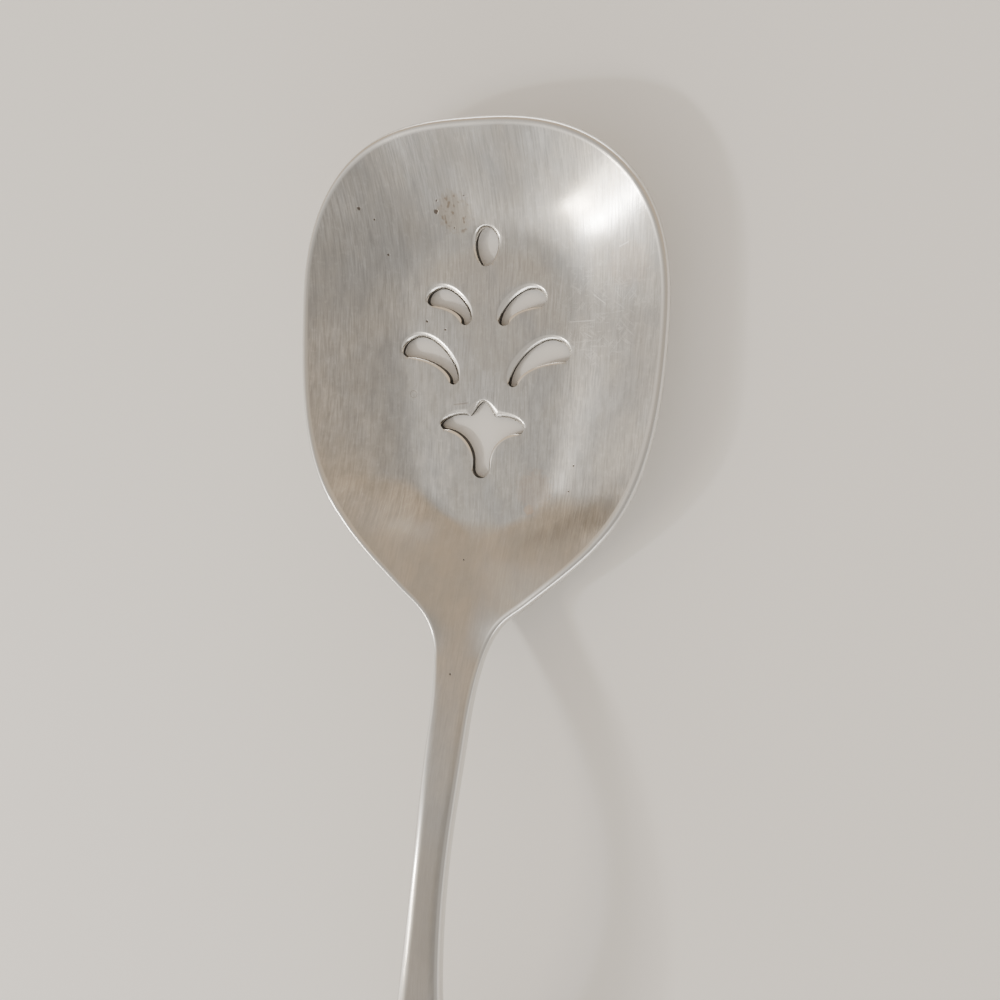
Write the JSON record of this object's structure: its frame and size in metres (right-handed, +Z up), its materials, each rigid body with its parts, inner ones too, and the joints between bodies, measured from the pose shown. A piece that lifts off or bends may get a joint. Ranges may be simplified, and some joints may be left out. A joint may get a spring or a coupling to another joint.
{
  "type": "jelly server",
  "caption": "Pierced jelly server of brushed stainless steel: a broad shallow dished bowl with a palmette of drain cut-outs, a slim neck and an arched handle whose edges fall away softly.",
  "frame": {"origin": "on the flat underside of the bowl's floor, on the middle line, between the lower leaves and the tulip of the openwork", "axes": "+Y from the handle to the tip of the bowl, +Z up out of the dished face, +X to the right seen from the handle"},
  "size_m": [0.0522, 0.1783, 0.0216],
  "materials": {
    "steel": "worn satin brushed along the length, with a rounded bright rim"
  },
  "bodies": {
    "root": {"server": "steel"}
  },
  "joints": []
}
